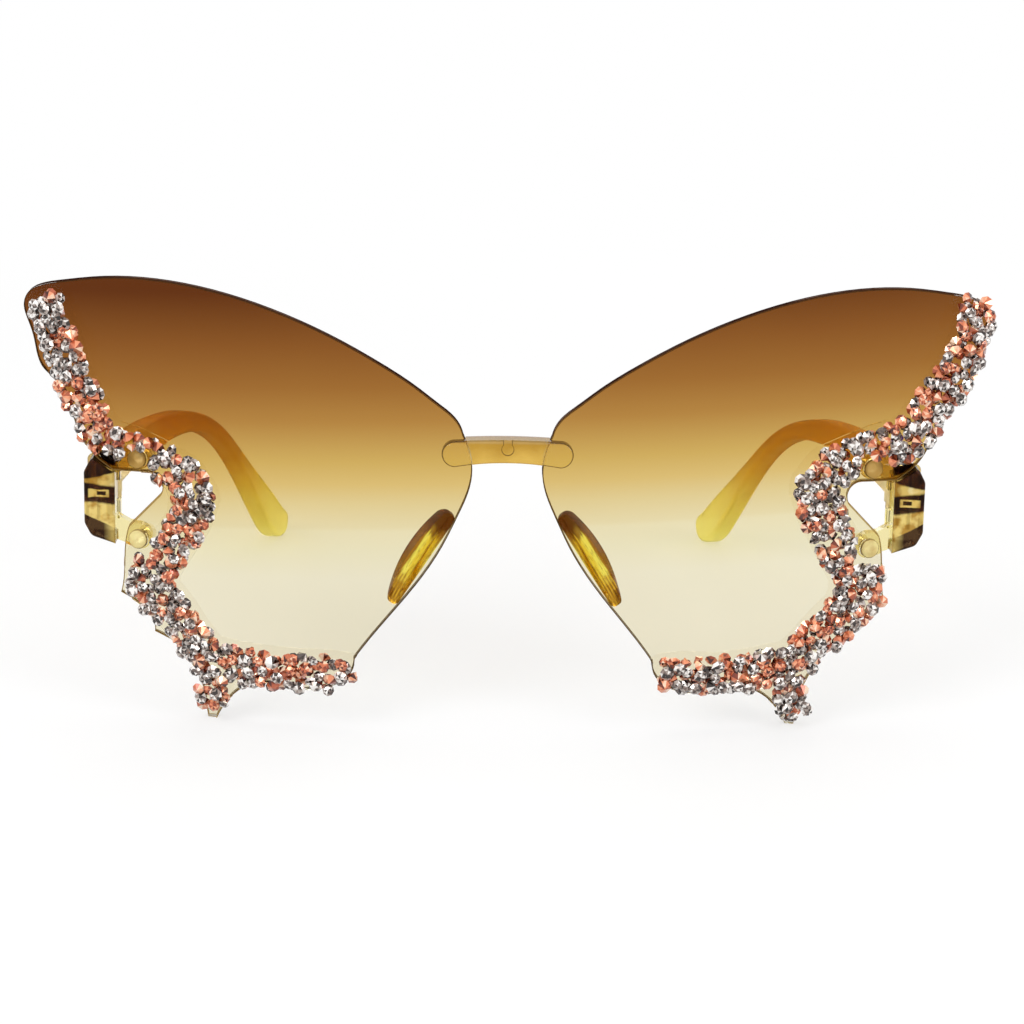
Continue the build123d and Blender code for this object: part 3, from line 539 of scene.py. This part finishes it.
def endpiece_material():
    """Amber with dark bands of painted shade on the outside of the bar, and pale arms."""
    tree = new_material("endpiece_amber")
    position = tree.place()
    x, y, height = tree.parts(position)
    drift = tree.swing(tree.noise(position, BORDER_DRIFT_SIZE, detail=3), BORDER_DRIFT)
    level = tree.plus(tree.minus(height, ENDPIECE_LEVEL), drift)
    outwards = tree.minus(tree.absolute(x), BAR_INSIDE)
    depth = tree.minus(y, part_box("endpiece_left")[0].y)
    cloud = tree.noise(position, GOLD_CLOUD_SIZE, detail=3)
    bar = bar_with_painted_shade(tree, position, level, outwards, cloud)
    arms = tree.mix(tree.above(level, *ARM_LIMIT), LOWER_ARM, UPPER_ARM)
    skin = bar_skin(tree, depth, level, outwards)
    clear = tree.between(skin, 1.0, SKIN_CLEAR)
    return tree.finish(amber_surface(tree, tree.mix(skin, arms, bar), cloud, strength=0.4, clear=clear))


# Nose pads: the middle of the straight side, the lean of that side, and the width
PAD_OUTWARDS = 13.6 * MM
PAD_LEVEL = 31.3 * MM
PAD_LEAN = math.radians(32)
PAD_WIDTH = 3.3 * MM

# Pads' colours, from the straight side to the rounded one: bright yellow streaks as painted internal
# reflections, browns at the borders as painted shade
PAD_REFLECTION_YELLOW = (1.0, 0.90, 0.17)
PAD_YELLOW = (0.84, 0.54, 0.03)
PAD_SHADE_AND_MOTTLE_BROWN = (0.19, 0.058, 0.004)
PAD_RIM_SHADE = (0.20, 0.050, 0.004)
PAD_TOP_SHADE = (0.11, 0.022, 0.006)
PAD_TONES = [
    (0.05, PAD_REFLECTION_YELLOW), (0.13, PAD_SHADE_AND_MOTTLE_BROWN), (0.22, PAD_YELLOW), (0.34, PAD_YELLOW),
    (0.42, PAD_REFLECTION_YELLOW), (0.80, PAD_REFLECTION_YELLOW), (0.90, PAD_SHADE_AND_MOTTLE_BROWN), (1.0, PAD_RIM_SHADE),
]
STREAK_STRETCH = 0.1
STREAK_SIZE = 0.5 * MM
STREAK_DRIFT = 0.9 * MM
GRAIN_SIZE = 0.22 * MM
MOTTLE_LIMIT = (0.58, 0.03)
MOTTLE_SHARE = 0.5

# Pads' ribbed foot, and the outer wall and maroon top, both painted shade
FOOT_GOLD = (0.75, 0.46, 0.05)
FOOT_BROWN = (0.30, 0.13, 0.012)
FOOT_LIMIT = (-5.4 * MM, 0.5 * MM)
RIB_SPACING = 0.55 * MM
WALL_SLOPE_LIMIT = (0.45, 0.15)
WALL_PLACE_LIMIT = (1.4 * MM, 0.4 * MM)
WALL_SHARE = 0.85
WALL_CLEAR = 0.45
PAD_TOP_SHADE_DRIFT = 7 * MM
PAD_TOP_SHADE_LIMIT = (4.2 * MM, 1 * MM)
PAD_TOP_SHADE_SHARE = 0.95


def pad_axes(tree, x, height):
    """Distances along a pad and across it from its straight side, which leans to the nose."""
    right = tree.minus(tree.absolute(x), PAD_OUTWARDS)
    up = tree.minus(height, PAD_LEVEL)
    cosine, sine = math.cos(PAD_LEAN), math.sin(PAD_LEAN)
    along = tree.minus(tree.times(up, cosine), tree.times(right, sine))
    across = tree.plus(tree.times(right, cosine), tree.times(up, sine))
    return along, across


def foot_ribs(tree, across):
    """Brown and gold by turns across the pad."""
    wave = tree.math("SINE", tree.times(across, 2 * math.pi / RIB_SPACING))
    return tree.mix(tree.times(tree.plus(wave, 1.0), 0.5), FOOT_BROWN, FOOT_GOLD)


def pad_material():
    """Amber with bright yellow streaks of painted internal reflection along the pad, a maroon top and a
    brown rim of painted shade, and a ribbed foot.
    """
    tree = new_material("pad_amber")
    x, y, height = tree.parts(tree.place())
    along, across = pad_axes(tree, x, height)
    stretched = tree.times(along, STREAK_STRETCH)
    flow = tree.add("ShaderNodeCombineXYZ", {0: across, 1: stretched, 2: y}).outputs[0]
    streaks = tree.noise(flow, STREAK_SIZE, detail=3)
    band = tree.math("DIVIDE", tree.plus(across, tree.swing(streaks, STREAK_DRIFT)), PAD_WIDTH)
    colour = tree.ramp(band, PAD_TONES)
    grain = tree.noise(flow, GRAIN_SIZE, detail=4)
    mottle = tree.times(tree.above(grain, *MOTTLE_LIMIT), MOTTLE_SHARE)
    colour = tree.mix(mottle, colour, PAD_SHADE_AND_MOTTLE_BROWN)
    colour = tree.mix(tree.below(along, *FOOT_LIMIT), colour, foot_ribs(tree, across))
    # Painted shade on the outer wall, where the pad turns away from the front
    turned = tree.below(tree.frontal(), *WALL_SLOPE_LIMIT)
    wall = tree.times(turned, tree.above(across, *WALL_PLACE_LIMIT))
    colour = tree.mix(tree.times(wall, WALL_SHARE), colour, PAD_RIM_SHADE)
    # Painted shade over the pad's top
    painted_light_top = tree.above(tree.plus(along, tree.swing(streaks, PAD_TOP_SHADE_DRIFT)), *PAD_TOP_SHADE_LIMIT)
    colour = tree.mix(tree.times(painted_light_top, PAD_TOP_SHADE_SHARE), colour, PAD_TOP_SHADE)
    clear = tree.between(wall, 1.0, WALL_CLEAR)
    surface = amber_surface(
        tree, colour, streaks, strength=0.6, clear=clear, roughness=0.08, bending=1.06, gloss=0.0
    )
    return tree.finish(surface)


# Temples: colours from the hinge to the tip
HONEY_HINGE = (0.84, 0.70, 0.36)
HONEY_FRONT = (0.80, 0.43, 0.045)
HONEY_MIDDLE = (0.78, 0.44, 0.035)
HONEY_TIP = (1.0, 0.93, 0.30)
HONEY_TONES = [
    (0.10, HONEY_HINGE), (0.26, HONEY_FRONT), (0.38, HONEY_MIDDLE), (0.62, HONEY_MIDDLE),
    (0.88, HONEY_TIP),
]
HONEY_DRIFT_SIZE = 10 * MM
HONEY_DRIFT = 0.2
HONEY_CLOUD_SIZE = 4 * MM
HONEY_WAVE_DEPTH = 0.03 * MM
HONEY_ROUGHNESS = (0.3, 0.45)


def honey_material():
    """Milky honey amber of the temples: orange at the front, bright yellow at the tip."""
    tree = new_material("honey_amber")
    position = tree.place()
    _, y, _ = tree.parts(position)
    front, back = (corner.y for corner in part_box("temple_left"))
    share = tree.math("DIVIDE", tree.minus(y, front), back - front)
    drift = tree.swing(tree.noise(position, HONEY_DRIFT_SIZE, detail=4), HONEY_DRIFT)
    colour = tree.ramp(tree.plus(share, drift), HONEY_TONES)
    cloud = tree.noise(position, HONEY_CLOUD_SIZE, detail=3)
    surface = tree.principled(
        Base_Color=colour, Roughness=tree.between(cloud, *HONEY_ROUGHNESS), IOR=1.15,
        Transmission_Weight=0.8, Normal=tree.bump(cloud, HONEY_WAVE_DEPTH, strength=0.3),
    )
    return tree.finish(surface)


# Glue
GLUE = (0.97, 0.955, 0.92)
GLUE_WAVE_SIZE = 2.6 * MM
GLUE_WAVE_DEPTH = 0.4 * MM


def glue_material():
    """Clear glue with a soft uneven skin."""
    tree = new_material("clear_glue")
    waves = tree.noise(tree.place(), GLUE_WAVE_SIZE, detail=2)
    surface = tree.principled(
        Base_Color=GLUE, Roughness=0.04, IOR=1.1, Transmission_Weight=1.0,
        Normal=tree.bump(waves, GLUE_WAVE_DEPTH, strength=0.5),
    )
    return tree.finish(surface)


# Stones: painted reflection tones from the darkest facet to the brightest, the clear ones warmed as
# painted reflections of copper neighbours, and how metallic the foil looks
CLEAR_REFLECTION_TONES = [
    (0.12, (0.006, 0.003, 0.002)), (0.30, (0.055, 0.036, 0.030)), (0.46, (0.26, 0.19, 0.16)),
    (0.62, (0.50, 0.44, 0.40)), (0.74, (1.0, 0.96, 0.92)),
]
COPPER_REFLECTION_TONES = [
    (0.12, (0.055, 0.006, 0.002)), (0.30, (0.34, 0.060, 0.022)), (0.52, (0.74, 0.20, 0.085)),
    (0.72, (0.94, 0.38, 0.20)), (0.88, (1.0, 0.74, 0.54)),
]
VIOLET_REFLECTION_TONES = [
    (0.2, (0.08, 0.03, 0.22)), (0.5, (0.30, 0.15, 0.60)), (0.8, (0.72, 0.52, 0.95)),
]
CLEAR_FOIL = 0.35
COPPER_FOIL = 0.4
VIOLET_FOIL = 0.3
GLINT_SIZE = 0.8 * MM
GLINT_SHARE = 0.22
STONE_ROUGHNESS = (0.04, 0.14)


def stone_material(name, reflection_tones, foil):
    """Foil-backed crystal: each facet gets a painted reflection tone, broken by small painted
    reflections.
    """
    tree = new_material(name)
    facet = tree.add("ShaderNodeNewGeometry").outputs["Random Per Island"]
    cells = tree.add("ShaderNodeTexVoronoi", {"Vector": tree.place(), "Scale": 1 / GLINT_SIZE})
    glint = tree.parts(cells.outputs["Color"])[0]
    # Painted reflections: a random tone per facet, with small painted glints
    reflection_tone = tree.plus(tree.times(facet, 1 - GLINT_SHARE), tree.times(glint, GLINT_SHARE))
    surface = tree.principled(
        Base_Color=tree.ramp(reflection_tone, reflection_tones), Metallic=foil, IOR=1.55,
        Roughness=tree.between(glint, *STONE_ROUGHNESS), Coat_Weight=0.5, Coat_Roughness=0.03,
    )
    return tree.finish(surface)


# Screws
STEEL = (0.72, 0.68, 0.60)
TURNING_STRETCH = (1, 1, 12)
TURNING_SIZE = 1 * MM
STEEL_ROUGHNESS = (0.25, 0.45)


def steel_material():
    """Turned steel, with fine rings along the screw."""
    tree = new_material("steel")
    turned = tree.add("ShaderNodeMapping", {"Vector": tree.place(), "Scale": TURNING_STRETCH})
    rings = tree.noise(turned.outputs[0], TURNING_SIZE, detail=3)
    roughness = tree.between(rings, *STEEL_ROUGHNESS)
    return tree.finish(tree.principled(Base_Color=STEEL, Metallic=1.0, Roughness=roughness))


def dress(name, material):
    """Gives a CAD node its finished material."""
    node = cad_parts[name]
    node.data.materials.clear()
    node.data.materials.append(material)


def dress_all():
    amber_rivet = rivet_material()
    pairs = {
        "lens": lens_material(), "nose_pad": pad_material(), "endpiece": endpiece_material(),
        "upper_rivet": amber_rivet, "lower_rivet": amber_rivet, "hinge_screw": steel_material(),
        "temple": honey_material(), "glue_bed": glue_material(),
        "clear_stones": stone_material("crystal", CLEAR_REFLECTION_TONES, CLEAR_FOIL),
        "copper_stones": stone_material("copper_crystal", COPPER_REFLECTION_TONES, COPPER_FOIL),
    }
    for piece, material in pairs.items():
        for side in ("left", "right"):
            dress(f"{piece}_{side}", material)
    dress("bridge", bridge_material())
    dress("violet_stone", stone_material("violet_crystal", VIOLET_REFLECTION_TONES, VIOLET_FOIL))


# Edge lines: the thin bevel where a skin of a lens turns into its rim, painted dark as shade
EDGE_WIDTH = 0.17 * MM
EDGE_LIFT = 0.02 * MM
EDGE_GRAIN_SIZE = 0.8 * MM
EDGE_GRAIN_SHARE = 0.25
EDGE_HIGH_LIMIT = (52 * MM, 8 * MM)
EDGE_INNER_LIMIT = (40 * MM, 4 * MM)
EDGE_INNER_SHARE = 0.85
EDGE_CLEAR = (0.45, 0.95)
WELD_DISTANCE = 0.001 * MM


def edge_material():
    """Line of painted shade where the lens's skin turns into its edge, lighter and golden lower down."""
    tree = new_material("lens_edge")
    position = tree.place()
    x, _, height = tree.parts(position)
    high = tree.above(height, *EDGE_HIGH_LIMIT)
    inner = tree.below(tree.absolute(x), *EDGE_INNER_LIMIT)
    # Painted shade along the upper and inner edges, golden elsewhere
    painted_shade = tree.larger(high, tree.times(inner, EDGE_INNER_SHARE))
    colour = tree.mix(painted_shade, RIM_GOLD, RIM_SHADE)
    grain = tree.noise(position, EDGE_GRAIN_SIZE, detail=3)
    colour = tree.mix(tree.times(grain, EDGE_GRAIN_SHARE), colour, TINT_BLUSH)
    covered = behind_bridge(tree, x, height)
    colour = tree.mix(tree.times(covered, COVER_SHARE), colour, PALE_AMBER)
    surface = tree.principled(
        Base_Color=colour, Roughness=0.4, IOR=1.15,
        Transmission_Weight=tree.between(covered, *EDGE_CLEAR), Specular_IOR_Level=0.0,
    )
    return tree.finish(surface)


def outline_edges(mesh, centre, inside):
    """Edges where a lens's front (or back) skin meets its rim, each with its skin face's middle."""
    skin = bmesh.new()
    skin.from_mesh(mesh)
    bmesh.ops.remove_doubles(skin, verts=skin.verts, dist=WELD_DISTANCE)
    skin.normal_update()
    found = []
    for edge in skin.edges:
        if len(edge.link_faces) != 2:
            continue
        facings = []
        for face in edge.link_faces:
            radial = (face.calc_center_median() - centre).normalized()
            facings.append(face.normal.dot(radial) * (-1 if inside else 1))
        if max(facings) > RIM_FACING and min(facings) < RIM_FACING:
            start, end = (corner.co.copy() for corner in edge.verts)
            middle = edge.link_faces[facings.index(max(facings))].calc_center_median()
            found.append((start, end, middle))
    skin.free()
    return found


def corner_key(corner):
    return tuple(round(value / WELD_DISTANCE) for value in corner)


def inward_corners(edges, centre):
    """Each corner of the edges once, with the sum of the directions inwards over the skin there."""
    corners = {}
    for start, end, middle in edges:
        radial = (start - centre).normalized()
        across = (end - start).normalized().cross(radial)
        if across.dot(middle - start) < 0:
            across.negate()
        for corner in (start, end):
            corners.setdefault(corner_key(corner), [corner, Vector()])[1] += across
    return corners


def strip_mesh(edges, centre, lift):
    """Narrow strip along these edges, lifted off the skin."""
    strip = bmesh.new()
    sides = {}
    for key, (corner, across) in inward_corners(edges, centre).items():
        radial = (corner - centre).normalized()
        across.normalize()
        outer = corner + radial * lift + across * EDGE_LIFT
        sides[key] = (strip.verts.new(outer), strip.verts.new(outer + across * EDGE_WIDTH))
    for start, end, _ in edges:
        outer_start, inner_start = sides[corner_key(start)]
        outer_end, inner_end = sides[corner_key(end)]
        strip.faces.new((outer_start, outer_end, inner_end, inner_start))
    mesh = bpy.data.meshes.new("lens_edge")
    strip.to_mesh(mesh)
    strip.free()
    return mesh


def add_edge_line(side, material, inside):
    """Edge line along the front (or back) skin of a lens."""
    centre = lens_centre()
    edges = outline_edges(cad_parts[f"lens_{side}"].data, centre, inside)
    mesh = strip_mesh(edges, centre, -EDGE_LIFT if inside else EDGE_LIFT)
    mesh.materials.append(material)
    name = f"lens_{'back' if inside else 'front'}_edge_{side}"
    piece = bpy.data.objects.new(name, mesh)
    bpy.context.scene.collection.objects.link(piece)
    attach(piece, "front")


def add_edge_lines():
    edge = edge_material()
    for side in ("left", "right"):
        add_edge_line(side, edge, False)
        add_edge_line(side, edge, True)


# Stage: paper sweep, world and softboxes, each with its place, size and power in watts
FLOOR_SIZE = 12.0
FLOOR_GLOW = 0.63
FLOOR_GREY = (0.32, 0.32, 0.32)
WORLD_LIGHT = 0.7
SHADOW_REACH = 350 * MM
SHADOW_FADE = 500 * MM
SOFTBOXES = [
    ("key", (-0.6, -0.9, 0.7), (0.6, 0.6), 7.5),
    ("fill", (0.8, -0.8, 0.5), (0.5, 0.5), 4.5),
    ("painted_light_top", (0, 0.2, 1.1), (0.9, 0.5), 1.2),
    ("back", (0.2, 0.9, 0.5), (0.8, 0.4), 2.0),
]


def shown_white(tree):
    """One for rays that see the backdrop: the camera's, mirrored ones and those through glass."""
    path = tree.add("ShaderNodeLightPath")
    seen = tree.plus(path.outputs["Is Camera Ray"], path.outputs["Is Glossy Ray"])
    return tree.plus(seen, path.outputs["Is Transmission Ray"], clamp=True)


def floor_material():
    """White paper sweep that keeps a soft shadow near the object."""
    tree = new_material("floor")
    position = tree.add("ShaderNodeNewGeometry").outputs["Position"]
    distance = tree.vector("LENGTH", position)["Value"]
    far = tree.add(
        "ShaderNodeMapRange", {"Value": distance, "From Min": SHADOW_REACH, "From Max": SHADOW_FADE}
    ).outputs[0]
    strength = tree.times(shown_white(tree), tree.between(far, FLOOR_GLOW, 1.0))
    albedo = tree.mix(far, FLOOR_GREY, BLACK)
    paper = tree.add("ShaderNodeBsdfDiffuse", {"Color": albedo}).outputs[0]
    light = tree.add("ShaderNodeEmission", {"Color": WHITE, "Strength": strength}).outputs[0]
    return tree.finish(tree.add("ShaderNodeAddShader", {0: paper, 1: light}).outputs[0])


def add_floor():
    bpy.ops.mesh.primitive_plane_add(size=FLOOR_SIZE, location=(0, 0, 0))
    floor = bpy.context.object
    floor.name = "floor"
    floor.data.materials.append(floor_material())


def add_world():
    world = bpy.data.worlds.new("world")
    bpy.context.scene.world = world
    tree = Tree(world)
    strength = tree.between(shown_white(tree), WORLD_LIGHT, 1.0)
    background = tree.add("ShaderNodeBackground", {"Color": WHITE, "Strength": strength})
    tree.add("ShaderNodeOutputWorld", {"Surface": background.outputs[0]})


def add_softbox(name, place, size, power):
    data = bpy.data.lights.new(name, "AREA")
    data.shape = "RECTANGLE"
    data.size, data.size_y = size
    data.energy = power
    lamp = bpy.data.objects.new(name, data)
    bpy.context.scene.collection.objects.link(lamp)
    lamp.location = place
    lamp.rotation_euler = (-Vector(place)).to_track_quat("-Z", "Y").to_euler()


bpy.context.scene.view_settings.view_transform = "Standard"
add_camera()
add_world()
add_floor()
for softbox in SOFTBOXES:
    add_softbox(*softbox)
dress_all()
add_edge_lines()
